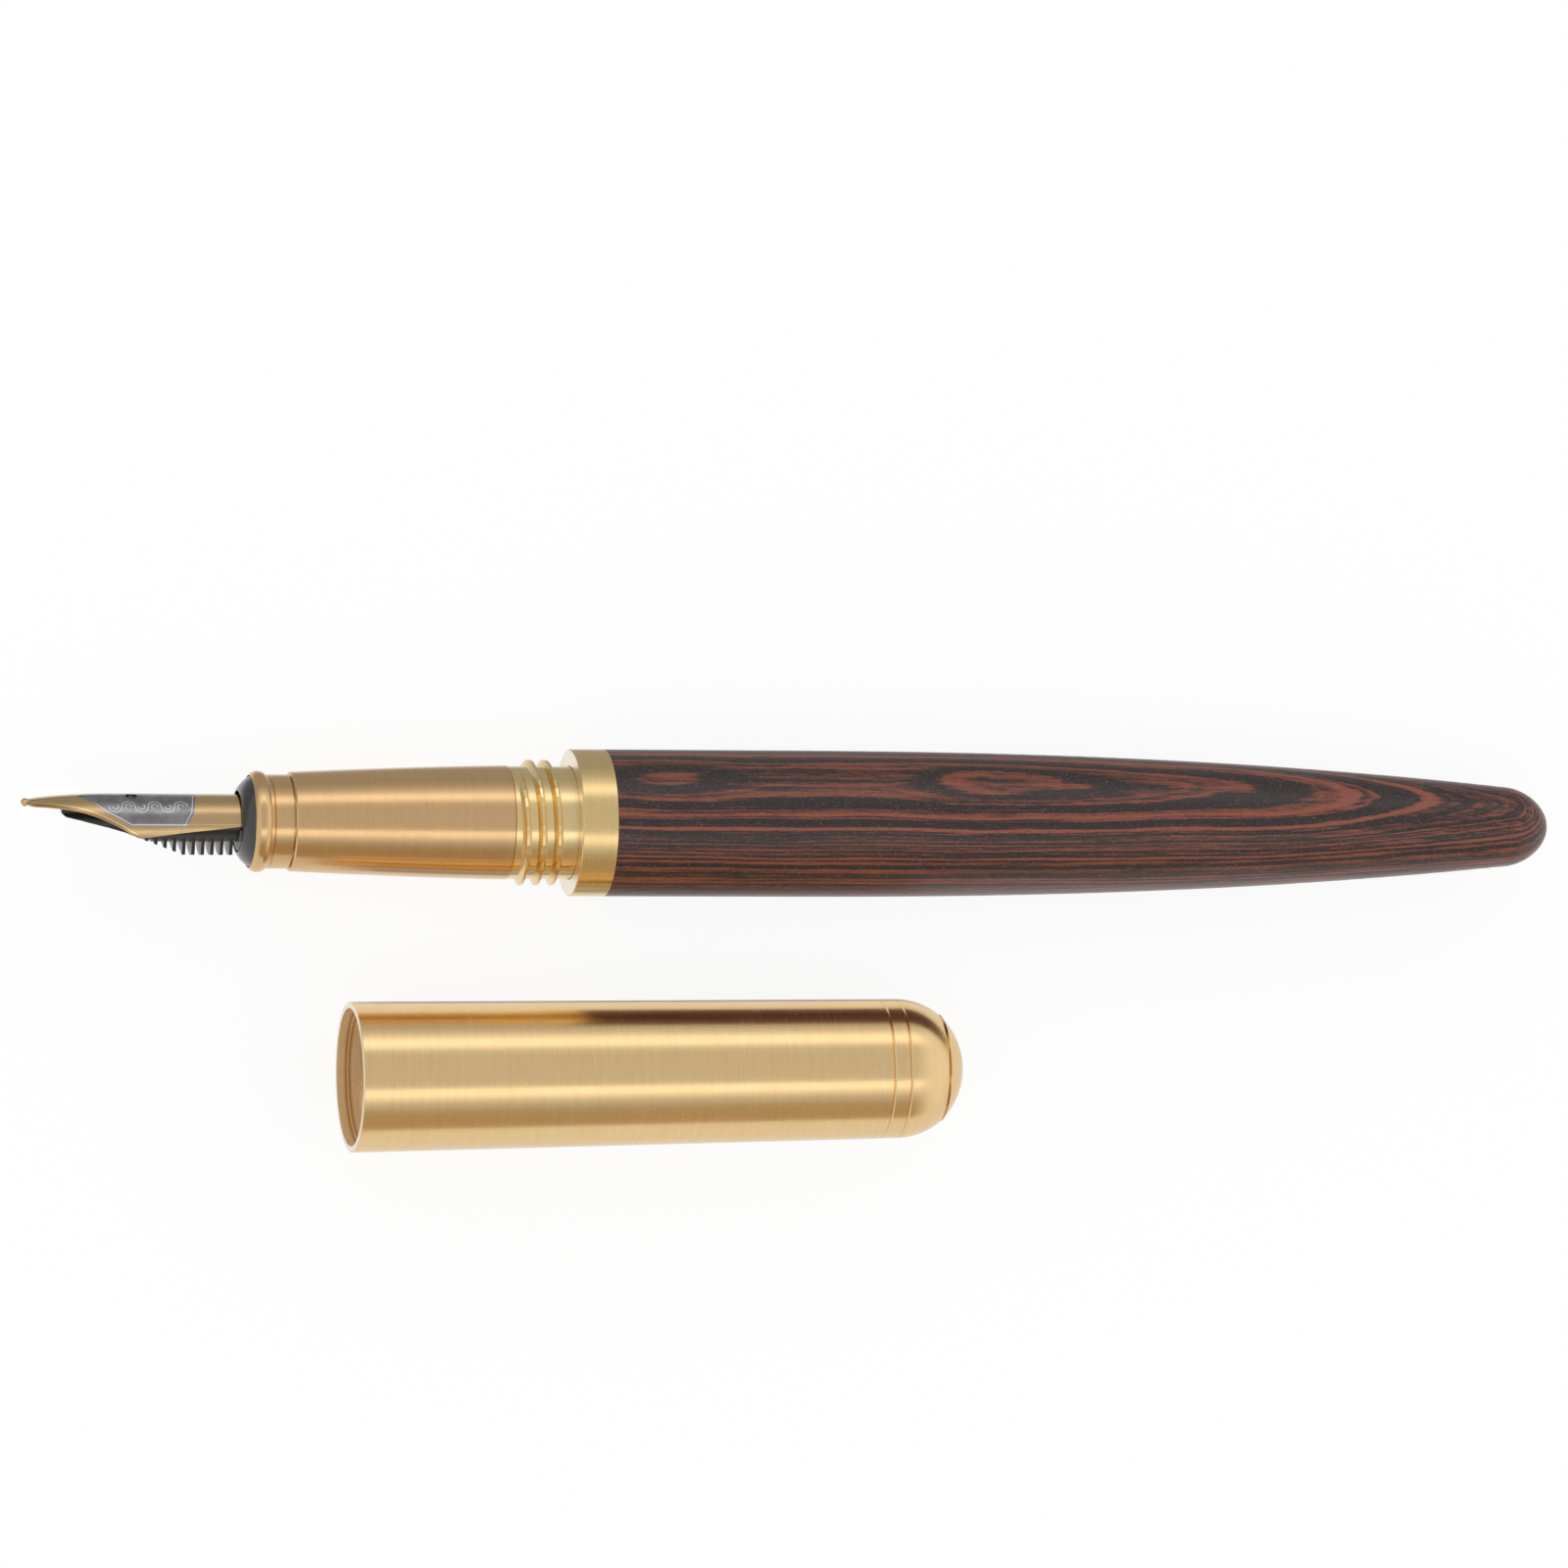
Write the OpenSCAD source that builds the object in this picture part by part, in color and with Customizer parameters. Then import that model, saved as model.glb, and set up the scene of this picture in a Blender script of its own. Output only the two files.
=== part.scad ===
// Fountain pen: a turned wooden barrel, a brass grip section with a two-tone nib, a piston converter
// inside the barrel, and a brass screw cap that lies beside the pen. Millimetres, +Z up.
// The pen lies along X with its nib towards -X. Pen parts are drawn round the pen's own axis, with
// x = 0 on the front face of the centre ring. Cap parts are drawn with x = 0 on the cap's mouth.

/* [Barrel] */
// Diameter of the barrel and of the centre ring
barrel_d = 12.4; // [12.3:0.05:13.2]
// Length of the straight stretch of wood behind the centre ring
barrel_straight = 16; // [10:0.5:17]
// Length of the tapering stretch of wood
barrel_taper = 63.5; // [62:0.5:72]
// Radius of the wood where the round tail begins
tail_r = 3.42; // [3.2:0.02:3.8]
// Width of the brass centre ring
ring_w = 3; // [2.6:0.1:3.4]

/* [Section] */
// Length of the section, from its nose to the centre ring
section_len = 27.5; // [27:0.1:29]
// Diameter of the bead round the section's nose
bead_d = 8.5; // [8.3:0.05:8.8]
// Diameter of the grip behind the nose ring
grip_front_d = 8.36; // [8.2:0.02:8.6]
// Diameter of the grip's rear end
grip_rear_d = 9.6; // [9.55:0.05:9.9]
// Diameter over the cap thread
cap_thread_d = 10.6; // [10.2:0.05:10.8]
// Pitch of the cap thread
cap_thread_pitch = 1.35; // [1.25:0.05:1.4]

/* [Nib] */
// Length of the nib's sheet that stands out of the housing
nib_out = 17.9; // [17.4:0.05:18.9]
// Radius that the nib is bent to at its shoulders
shoulder_r = 2.65; // [2.5:0.05:2.75]
// Distance from the front of the sheet to the shoulders
shoulder_u = 9.5; // [9:0.25:10.5]
// Angle by which the pen is rolled, so that its nib faces sideways
nib_roll = 68; // [0:1:90]

/* [Cap] */
// Length of the cap
cap_len = 52.95; // [51.5:0.05:54]
// Diameter of the cap's mouth
cap_mouth_d = 12.65; // [12.5:0.05:13.2]
// Diameter of the cap where its dome begins
cap_shoulder_d = 11.8; // [11.6:0.05:12.4]
// Angle at which the cap lies to the pen
cap_yaw = 0.78; // [0:0.02:3]

/* [Converter] */
// Outer diameter of the converter's tube
converter_d = 7.1; // [6.9:0.05:7.2]
// Travel of the converter's piston
piston_travel = 22; // [16:1:22]

/* [Hidden] */
$fn = 96;

brass = "#C2A15A";
grip_brass = "#B8945F";
wood = "#5A2A22";
black = "#1E1D20";
steel = "#B9B9BC";
clear = "#D8DEE0";

gap = 0.03;    // between parts that are pressed or glued together
run = 0.05;    // between parts that slide or turn
eps = 0.01;    // past a face, so that a cut is clean

// ---- the barrel's sizes
barrel_r = barrel_d / 2;
straight_end = ring_w + barrel_straight;
tail_x = straight_end + barrel_taper;
taper_power = 2.3;
tail_len = 3.7;        // of the rounded tail
barrel_end = tail_x + tail_len;
liner_r = 5.2;         // outside of the brass tube in the wood
liner_wall = 0.3;
liner_end = 34;
cavity_r = 4.05;       // the wood's own bore behind the liner
cavity_end = 65;
tenon_r = 4.4;         // over the section's rear thread
tenon_root_r = 4.05;
tenon_pitch = 0.8;
tenon_start = 3.4;
tenon_end = 9.6;
insert_end = 12;
section_bore_r = 3.72; // clears the converter

// ---- the section's sizes
bead_r = bead_d / 2;
nose_x = -section_len;
bead_end = nose_x + 1.8;
step_x = nose_x + 3.5;
grip_end = -5.45;
band_r = 3.95;
neck_r = 4.75;         // root of the cap thread
core_front_r = 3.62;   // the core inside the slim front of the grip
core_rear_r = 4.2;
core_step_x = -15.5;
housing_r = 3.28;
housing_rim_x = nose_x - 0.85;
flange_r = 3.85;
seat_end = -18.2;      // end of the nib's seat in the housing
housing_end = -16.5;
nipple_r = 1.5;
nipple_end = -11;
o_ring_r = 0.4;        // half the thickness of the rubber
o_ring_mid_r = 4.4;

// ---- the nib's sizes
tip_x = housing_rim_x - nib_out;
nib_t = 0.25;
nib_r = 2.5;           // outside of the nib where it enters the housing
nib_drop = 0.25;       // how far nib and feed sit below the pen's axis
nib_top = nib_r - nib_drop;
nib_len = 26;
slit_half = 0.045;
hole_r = 0.5;          // breather hole
hole_u = 8.8;
tip_droop = 0.5;
tip_ball_r = 0.34;     // pellets at the tip
pellet_x = tip_x - 0.12;
seat_r = nib_r + 0.02;

// ---- the converter's sizes
converter_r = converter_d / 2;
mouth_x = -16.2;
mouth_r = 2.6;
body_x = -8.8;
chamber_r = converter_r - 0.6;
tube_end = 23;
band_x = 18;
band_end = 29;
knob_x = 29.3;
knob_end = 53;
knob_r = 3.3;
stem_r = 1.9;
stem_flat = 1.55;
seal_x = -6.6;
seal_len = 3.6;
stem_end = 25;
screw_x = stem_end - 5;
screw_r = 0.9;
screw_lead = 4;

// ---- the cap's sizes
cap_mouth_r = cap_mouth_d / 2;
cap_shoulder_r = cap_shoulder_d / 2;
cap_wall = 0.52;
mouth_depth = 0.85;    // smooth stretch inside the mouth, ahead of the thread
bush_end = 6.2;
cap_bore_r = 5.1;
shoulder_x = cap_len - 5.75;
seam_x = cap_len - 2.03;
seam_r = 4.6;
end_wall_x = cap_len - 4.2;
stud_r = 1.9;
inner_cap_x = 26.6;
inner_cap_bore = 3.65;
cap_pitch = atan((cap_mouth_r - cap_shoulder_r) / shoulder_x);
groove = 0.11;         // depth of the turned lines

// ---- where the pen and the cap lie
cap_gap_y = 21.43;     // between the pen's axis and the centre of the cap's mouth
cap_x = -18.65;        // the cap's mouth along the pen
half_x = (pellet_x - tip_ball_r + barrel_end) / 2;
high_y = barrel_r;
low_y = -cap_gap_y - cap_mouth_r * cos(cap_yaw);
pen_at = [-half_x, -(high_y + low_y) / 2, barrel_r];

// A solid of revolution about the X axis, from [radius, x] points.
module turned(points) {
    rotate([0, 90, 0])
        rotate_extrude()
            polygon(points);
}

// A tube or rod about the X axis.
module rod(r, x1, x2) {
    translate([x1, 0, 0])
        rotate([0, 90, 0])
            cylinder(r = r, h = x2 - x1);
}

// Points of an arc as [radius, x], from angle a to b, where 0 is outwards and 90 is towards +X.
function arc(center, r, a, b, n = 12) =
    [for (i = [0:n]) let (t = a + (b - a) * i / n) center + r * [cos(t), sin(t)]];

// A helical ridge about the X axis. Its foot is sunk below root_r, and it fades in and out over fade turns.
// The crest may lie outside the foot, for an outer thread, or inside it, for an inner one.
module ridge(root_r, crest_r, pitch, x1, x2, foot_w, crest_w, phase = 0, steps = 36, fade = 0.2) {
    turns = (x2 - x1) / pitch;
    count = ceil(turns * steps);
    out = crest_r > root_r ? 1 : -1;
    foot_r = root_r - out * 0.12;
    rings = [for (i = [0:count])
        let (t = turns * i / count,
             rise = min(1, t / fade, (turns - t) / fade),
             top = foot_r + (crest_r - foot_r) * max(0.03, rise))
        [for (p = [[-foot_w / 2, foot_r], [-crest_w / 2, top], [crest_w / 2, top], [foot_w / 2, foot_r]])
            [p[1] * cos(360 * t + phase), p[1] * sin(360 * t + phase), x1 + pitch * t + p[0]]]];
    points = [for (ring = rings) each ring];
    sides = [for (i = [0:count - 1], k = [0:3])
        let (a = 4 * i + k, b = 4 * i + (k + 1) % 4)
        each [[a, b, b + 4], [a, b + 4, a + 4]]];
    last = 4 * count;
    ends = [[3, 2, 1], [3, 1, 0], [last, last + 1, last + 2], [last, last + 2, last + 3]];
    faces = concat(sides, ends);
    rotate([0, 90, 0])
        polyhedron(points, out > 0 ? faces : [for (f = faces) [f[2], f[1], f[0]]]);
}

// ---------------------------------------------------------------- barrel

function taper_r(x) = barrel_r - (barrel_r - tail_r) * pow((x - straight_end) / barrel_taper, taper_power);

module barrel_wood() {
    steps = 40;
    side = [for (i = [0:steps]) let (x = straight_end + barrel_taper * i / steps) [taper_r(x), x]];
    tail = [for (i = [1:15])
        let (a = 90 * i / 16, x = tail_x + tail_len * sin(a))
        [taper_r(x) * cos(a), x]];
    color(wood)
        turned(concat(
            [[liner_r + gap, ring_w + gap], [barrel_r, ring_w + gap]],
            side,
            tail,
            [[0, barrel_end], [0, cavity_end], [cavity_r, cavity_end - 2], [cavity_r, liner_end + gap],
             [liner_r + gap, liner_end + gap]]));
}

module barrel_liner() {
    inner = liner_r - liner_wall;
    color(brass)
        turned([[inner, ring_w + gap], [liner_r, ring_w + gap], [liner_r, liner_end], [inner, liner_end]]);
}

// The threaded insert in the mouth of the barrel that the section screws into.
module barrel_insert() {
    outer = liner_r - liner_wall - gap;
    bore = tenon_r + 0.08;
    color(brass)
        turned([[bore + 0.2, ring_w + gap], [outer, ring_w + gap], [outer, insert_end],
                [bore, insert_end], [bore, ring_w + gap + 0.2]]);
}

// The ring between section and barrel. Its front is bored for the section's neck and the O-ring.
module center_ring() {
    seat = neck_r + run;
    bore = tenon_r + 0.08;
    edge = 0.08;
    color(brass)
        turned([[seat, 0], [barrel_r - edge, 0], [barrel_r, edge], [barrel_r, ring_w], [bore, ring_w],
                [bore, 1.3], [seat, 1.3]]);
}

// ---------------------------------------------------------------- section

module o_ring() {
    color(black)
        rotate([0, 90, 0])
            translate([0, 0, 0.35 + o_ring_r + gap])
                rotate_extrude()
                    translate([o_ring_mid_r - 0.03, 0])
                        circle(r = o_ring_r, $fn = 32);
}

// The brass core: it carries the nose ring and grip, the cap thread and the thread for the barrel.
module section_core() {
    thread_start = grip_end + 0.62;
    thread_end = -0.95;
    bottom_crest = -4.2;    // where a crest crosses the side of the pen that faces -Y
    phase = 270 - 360 * (bottom_crest - thread_start) / cap_thread_pitch;
    color(brass)
        union() {
            turned([[housing_r + gap, bead_end + gap], [core_front_r, bead_end + gap],
                    [core_front_r, core_step_x], [core_rear_r, core_step_x], [core_rear_r, grip_end],
                    [neck_r - 0.06, grip_end], [neck_r, grip_end + 0.06], [neck_r, 0.35],
                    [tenon_root_r - 0.1, 0.35], [tenon_root_r - 0.1, 1.25], [tenon_root_r, 1.35],
                    [tenon_root_r, tenon_end], [tenon_root_r - 0.12, tenon_end + 0.12],
                    [section_bore_r, tenon_end + 0.12], [section_bore_r, core_step_x + 0.6],
                    [housing_r + gap, core_step_x + 0.2]]);
            ridge(neck_r, cap_thread_d / 2, cap_thread_pitch, thread_start, thread_end,
                  foot_w = 0.9, crest_w = 0.22, phase = phase, steps = 40);
            ridge(tenon_root_r, tenon_r, tenon_pitch, tenon_start, tenon_end - 0.3,
                  foot_w = 0.5, crest_w = 0.14, steps = 30);
        }
}

// The tapering brass grip, slightly hollow along its length.
module grip_sleeve() {
    front_r = grip_front_d / 2;
    rear_r = grip_rear_d / 2;
    edge = 0.12;
    steps = 16;
    x1 = step_x + edge;
    outside = [for (i = [0:steps])
        let (t = i / steps, x = x1 + (grip_end - 0.04 - x1) * t)
        [front_r + (rear_r - front_r) * sin(90 * t) * 0.55 + (rear_r - front_r) * 0.45 * t, x]];
    color(grip_brass)
        turned(concat(
            [[core_front_r + gap, step_x], [front_r - edge, step_x]],
            outside,
            [[core_rear_r + gap, grip_end - 0.04], [core_rear_r + gap, core_step_x - gap],
             [core_front_r + gap, core_step_x - gap]]));
}

// The ring at the nose: a round bead that flows into the slimmer band behind it.
module nose_ring() {
    front_w = 0.8;
    rear_w = 0.92;
    bead_x = nose_x + front_w;
    rear = arc([bead_r - rear_w, bead_x], rear_w, 0, 46);
    color(grip_brass)
        turned(concat(
            [[flange_r + gap, nose_x + 0.12], [bead_r - 0.36, nose_x + 0.12]],
            arc([bead_r - front_w, bead_x], front_w, -56, 0),
            [for (i = [1:len(rear) - 1]) rear[i]],
            [[band_r, bead_end - 0.12], [band_r - 0.08, bead_end - 0.04], [band_r, bead_end + 0.04],
             [band_r, step_x - 0.16], [band_r - 0.14, step_x - 0.1], [core_front_r + gap, step_x - 0.1],
             [core_front_r + gap, bead_end], [housing_r + gap, bead_end], [housing_r + gap, nose_x + 0.6],
             [flange_r + gap, nose_x + 0.6]]));
}

module nib_frame() {
    rotate([-nib_roll, 0, 0])
        children();
}

// The black housing that holds nib and feed, with a round nose and a nipple for the converter.
module nib_housing() {
    mouth_r = 2.6;
    flank_r = 2.71;
    flank_mid = [1.46, nose_x + 1.54];
    color(black)
        nib_frame()
            difference() {
                turned(concat(
                    [[0, housing_rim_x]],
                    arc(flank_mid, flank_r, -62, -31),
                    [[flange_r, nose_x + 0.25], [flange_r, nose_x + 0.57], [housing_r, nose_x + 0.57],
                     [housing_r, housing_end], [nipple_r, housing_end], [nipple_r, nipple_end - 0.3],
                     [nipple_r - 0.3, nipple_end], [0, nipple_end]]));
                // the open mouth, and the seat below the axis that nib and feed are pushed into
                rod(mouth_r, housing_rim_x - 1, housing_rim_x + 1.1);
                intersection() {
                    rod(housing_r - 0.45, housing_rim_x - 1, seat_end);
                    translate([0, 0, -nib_drop])
                        rod(seat_r, housing_rim_x + 0.4, seat_end);
                }
                rod(0.75, seat_end - 1, nipple_end + 1);
            }
}

// ---------------------------------------------------------------- nib

// Bend radius, half wrap angle and height of the nib at a distance u from the front of the sheet.
function nib_bend(u) = lookup(u, [[0, nib_r], [5, nib_r], [shoulder_u, shoulder_r], [15, nib_r]]);
function nib_wrap(u) = lookup(u * 9.5 / shoulder_u,
    [[0, 8], [0.5, 16.5], [1.7, 25], [2.8, 32], [4, 40], [5.4, 51.5], [6.7, 64], [8.1, 78.5], [9, 89],
     [9.45, 92.5], [10.7, 89], [12.9, 84.5], [15.1, 80.5], [18.5, 73]]);
function nib_high(u) = nib_top - tip_droop * pow(max(0, 1 - u / 6.8), 2);
function nib_split(u) = abs(u - hole_u) < hole_r
    ? max(slit_half, sqrt(hole_r * hole_r - pow(u - hole_u, 2)))
    : slit_half;

// The stations along the nib. The slit and the breather hole end at station number split_n.
front_steps = 26;
hole_steps = 12;
rear_steps = 12;
nib_stations = concat(
    [for (i = [0:front_steps - 1]) 0.12 + (hole_u - hole_r - 0.12) * i / front_steps],
    [for (i = [0:hole_steps]) hole_u - hole_r * cos(180 * i / hole_steps)],
    [for (i = [1:rear_steps]) hole_u + hole_r + (nib_len - hole_u - hole_r) * i / rear_steps]);
split_n = front_steps + hole_steps;
half_cols = 8;

function nib_point(u, angle, depth) =
    let (r = nib_bend(u))
    [tip_x + u, (r - depth) * sin(angle), nib_high(u) - r + (r - depth) * cos(angle)];

// One closed sheet: two tines with the slit between them, joined behind the breather hole.
module nib() {
    cols = 2 * half_cols + 2;
    n = len(nib_stations);
    points = [for (layer = [0, 1], i = [0:n - 1], j = [0:cols - 1])
        let (u = nib_stations[i],
             near = nib_split(u) / nib_bend(u) * 180 / PI * (i < split_n ? 1 : 0),
             right = j > half_cols,
             t = right ? (j - half_cols - 1) / half_cols : 1 - j / half_cols,
             angle = near + (nib_wrap(u) - near) * t)
        nib_point(u, right ? angle : -angle, layer * nib_t)];
    function at(layer, i, j) =
        (layer * n + i) * cols + (i >= split_n && j == half_cols + 1 ? half_cols : j);
    function quad(a, b, c, d) = [[a, b, c], [a, c, d]];
    sheet_cols = [for (j = [0:cols - 2]) if (j != half_cols) j];
    tops = [for (i = [0:n - 2], j = sheet_cols)
        each quad(at(0, i, j), at(0, i, j + 1), at(0, i + 1, j + 1), at(0, i + 1, j))];
    unders = [for (i = [0:n - 2], j = sheet_cols)
        each quad(at(1, i, j), at(1, i + 1, j), at(1, i + 1, j + 1), at(1, i, j + 1))];
    left_edge = [for (i = [0:n - 2])
        each quad(at(0, i, 0), at(0, i + 1, 0), at(1, i + 1, 0), at(1, i, 0))];
    right_edge = [for (i = [0:n - 2])
        each quad(at(0, i, cols - 1), at(1, i, cols - 1), at(1, i + 1, cols - 1), at(0, i + 1, cols - 1))];
    slit_left = [for (i = [0:split_n - 1])
        each quad(at(0, i, half_cols), at(1, i, half_cols), at(1, i + 1, half_cols),
                  at(0, i + 1, half_cols))];
    slit_right = [for (i = [0:split_n - 1]) let (j = half_cols + 1)
        each quad(at(0, i, j), at(0, i + 1, j), at(1, i + 1, j), at(1, i, j))];
    front = [for (j = sheet_cols) each quad(at(0, 0, j), at(1, 0, j), at(1, 0, j + 1), at(0, 0, j + 1))];
    back = [for (j = sheet_cols)
        each quad(at(0, n - 1, j), at(0, n - 1, j + 1), at(1, n - 1, j + 1), at(1, n - 1, j))];
    color("goldenrod")
        nib_frame()
            polyhedron(points, concat(tops, unders, left_edge, right_edge, slit_left, slit_right,
                                      front, back));
}

// The two hard pellets welded to the tines, just ahead of the sheet.
module nib_tipping() {
    color(steel)
        nib_frame()
            difference() {
                translate([pellet_x, 0, nib_high(0) - nib_t / 2])
                    sphere(r = tip_ball_r, $fn = 48);
                translate([tip_x - 1, -slit_half, nib_top - 3])
                    cube([2, 2 * slit_half, 4]);
                translate([tip_x + 0.11, -1, nib_top - 3])
                    cube([2, 2, 4]);
            }
}

// The comb feed under the nib: a slim tongue, thin fins below a narrow core, and a round root
// in the housing.
module feed() {
    x = tip_x;
    root_x = housing_rim_x + 0.05;
    tongue_u = 2.95;
    under = nib_t + 0.12;
    fin_pitch = 0.8;
    fin_count = 10;
    fin_t = 0.3;
    fin_half = 1.3;
    fin_r = 2.6;
    core_r = 1.5;
    tongue = concat(
        [[x + tongue_u, 0.85], [x + 3.3, 0.62], [x + 4.63, 0.38], [x + 6.89, -0.14], [x + 8.34, -0.56],
         [x + 10.46, -1.57], [root_x, -1.6]],
        [for (u = [root_x - x : -1 : 3.4]) [x + u, nib_high(u) - under]],
        [[x + tongue_u, nib_high(tongue_u) - under]]);
    comb = [[x + 9.9, 0], [x + 9.9, -1.2], [x + 12.5, -2.2], [x + 14.3, -3], [root_x, -3], [root_x, 0]];
    color(black)
        nib_frame()
            union() {
                // tongue, as wide as its place under the nib allows
                intersection() {
                    rotate([90, 0, 0])
                        linear_extrude(4.4, center = true)
                            polygon(tongue);
                    union() {
                        turned([[0, x + 2.8], [0.95, x + 2.8], [1.25, x + 7], [1.62, x + 10.5],
                                [1.62, root_x], [0, root_x]]);
                        translate([x + 2.8, -0.5, -0.4])
                            cube([root_x - x - 2.8, 1, 2.6]);
                    }
                }
                // narrow core of the comb
                translate([0, 0, -nib_drop])
                    rod(core_r, x + 10.6, root_x + eps);
                // fins
                intersection() {
                    rotate([90, 0, 0])
                        linear_extrude(2 * fin_half, center = true)
                            polygon(comb);
                    for (i = [0:fin_count - 1])
                        translate([root_x - 0.48 - fin_pitch * i - fin_t, 0, -nib_drop])
                            rod(fin_r, 0, fin_t);
                }
                // root, under the nib and in the housing
                difference() {
                    translate([0, 0, -nib_drop])
                        rod(nib_r - nib_t - 0.03, x + 14, seat_end - 0.3);
                    translate([x + 13, -3, -4])
                        cube([root_x - x - 13, 6, 4 + 0.1]);
                    // ink channel
                    translate([x + 12, -0.2, nib_top - 1.2])
                        cube([20, 0.4, 2]);
                }
                rod(0.7, seat_end - 0.4, nipple_end - 2.2);
            }
}

// ---------------------------------------------------------------- converter

module converter_tube() {
    color(clear)
        turned([[nipple_r + run, mouth_x], [mouth_r - 0.2, mouth_x], [mouth_r, mouth_x + 0.2],
                [mouth_r, body_x - 0.8], [converter_r, body_x], [converter_r, band_x - gap],
                [converter_r - 0.2, band_x - gap], [converter_r - 0.2, tube_end], [chamber_r, tube_end],
                [chamber_r, body_x + 1.2], [nipple_r + run, body_x + 0.2]]);
}

module converter_band() {
    inner = converter_r - 0.2 + gap;
    edge = 0.15;
    r = converter_r + 0.05;
    color(brass)
        turned([[inner, band_x], [r - edge, band_x], [r, band_x + edge], [r, band_end - edge],
                [r - edge, band_end], [inner, band_end]]);
}

// The plug in the tube's rear end. The flats in its hole keep the stem from turning.
module converter_guide() {
    color(black)
        difference() {
            union() {
                rod(chamber_r - gap, tube_end - 3.5, tube_end + gap);
                rod(converter_r - 0.2, tube_end + gap, band_end);
            }
            intersection() {
                rod(stem_r + run, tube_end - 5, band_end + 1);
                translate([tube_end - 5, -stem_flat - run, -4])
                    cube([band_end - tube_end + 6, 2 * (stem_flat + run), 8]);
            }
        }
}

module piston_stem() {
    color(steel)
        difference() {
            intersection() {
                rod(stem_r, seal_x + 0.6, stem_end);
                translate([seal_x, -stem_flat, -4])
                    cube([stem_end - seal_x + 1, 2 * stem_flat, 8]);
            }
            rod(screw_r + 0.3, screw_x - piston_travel - 0.6, stem_end + 1);
        }
}

// The piston's soft head, with a lip at each end.
module piston_seal() {
    lip = chamber_r - run;
    waist = chamber_r - 0.4;
    x2 = seal_x + seal_len;
    color(black)
        difference() {
            turned([[0, seal_x], [lip - 0.5, seal_x], [lip, seal_x + 0.5], [lip, seal_x + 0.9],
                    [waist, seal_x + 1.3], [waist, x2 - 1.3], [lip, x2 - 0.9], [lip, x2 - 0.5],
                    [lip - 0.5, x2], [0, x2]]);
            rod(stem_r + gap, seal_x + 0.6 - gap, x2 + 1);
        }
}

module converter_knob() {
    flutes = 20;
    color(brass)
        difference() {
            turned([[stem_r + 0.15, knob_x], [knob_r - 0.3, knob_x], [knob_r, knob_x + 0.3],
                    [knob_r, knob_end - 0.6], [knob_r - 0.6, knob_end], [0, knob_end],
                    [0, knob_end - 2.5], [stem_r + 0.15, knob_end - 2.5]]);
            for (i = [0:flutes - 1])
                rotate([360 * i / flutes, 0, 0])
                    translate([0, knob_r + 0.08, 0])
                        rod(0.25, knob_x + 3, knob_end - 2);
        }
}

module lead_screw() {
    color(steel)
        union() {
            rod(screw_r, screw_x, knob_end - 2.5 - gap);
            ridge(screw_r, screw_r + 0.2, screw_lead, screw_x + 0.5, knob_end - 4,
                  foot_w = 0.9, crest_w = 0.5, steps = 24);
        }
}

// ---------------------------------------------------------------- cap

// Places the cap's parts: the cap lies on its side, so its tapering wall touches the ground along a line.
module cap_frame() {
    translate([cap_x, -cap_gap_y, cap_mouth_r * cos(cap_pitch) - barrel_r])
        rotate([0, cap_pitch, cap_yaw])
            children();
}

function cap_r(x) = cap_mouth_r + (cap_shoulder_r - cap_mouth_r) * x / shoulder_x;

// A V-shaped turned line, as profile points.
function line_at(x) = [[cap_r(x - 0.13), x - 0.13], [cap_r(x) - groove, x], [cap_r(x + 0.13), x + 0.13]];

module cap_tube() {
    dome_r = (pow(shoulder_x - seam_x, 2) + pow(cap_shoulder_r - seam_r, 2))
        / (2 * (cap_shoulder_r - seam_r));
    dome_end = asin((seam_x - shoulder_x) / dome_r);
    dome = arc([cap_shoulder_r - dome_r, shoulder_x], dome_r, 0, dome_end, 16);
    mouth_r = cap_mouth_r - cap_wall;
    edge = 0.06;
    color(brass)
        cap_frame()
            turned(concat(
                [[mouth_r, 0], [cap_mouth_r - edge, 0], [cap_mouth_r, edge]],
                line_at(shoulder_x - 1.45), line_at(shoulder_x),
                [for (i = [1:15]) dome[i]],
                [[seam_r - 0.02, seam_x - 0.08], [seam_r - 0.14, seam_x], [stud_r + 0.1, seam_x],
                 [stud_r + 0.1, end_wall_x], [cap_bore_r, end_wall_x], [cap_bore_r, bush_end + gap],
                 [mouth_r, bush_end + gap]]));
}

// The threaded bush pressed into the mouth, which screws onto the section.
module cap_thread_bush() {
    outer = cap_mouth_r - cap_wall - gap;
    root = cap_thread_d / 2 + 0.24;
    crest = cap_thread_d / 2 - 0.2;
    color(brass)
        cap_frame()
            union() {
                turned([[root + 0.1, mouth_depth], [outer, mouth_depth], [outer, bush_end],
                        [root, bush_end], [root, mouth_depth + 0.1]]);
                ridge(root, crest, cap_thread_pitch, mouth_depth + 0.35, bush_end - 0.5,
                      foot_w = 0.7, crest_w = 0.3, phase = 60, steps = 40, fade = 0.08);
            }
}

// The plastic cup that seals round the nib when the cap is on.
module inner_cap() {
    outer = cap_bore_r - gap;
    end = end_wall_x - gap;
    color(black)
        cap_frame()
            turned([[inner_cap_bore + 0.55, inner_cap_x], [outer, inner_cap_x], [outer, end],
                    [stud_r + gap, end], [stud_r + gap, end - 1.4], [inner_cap_bore - 0.6, end - 1.4],
                    [inner_cap_bore, end - 2], [inner_cap_bore, inner_cap_x + 0.6]]);
}

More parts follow.
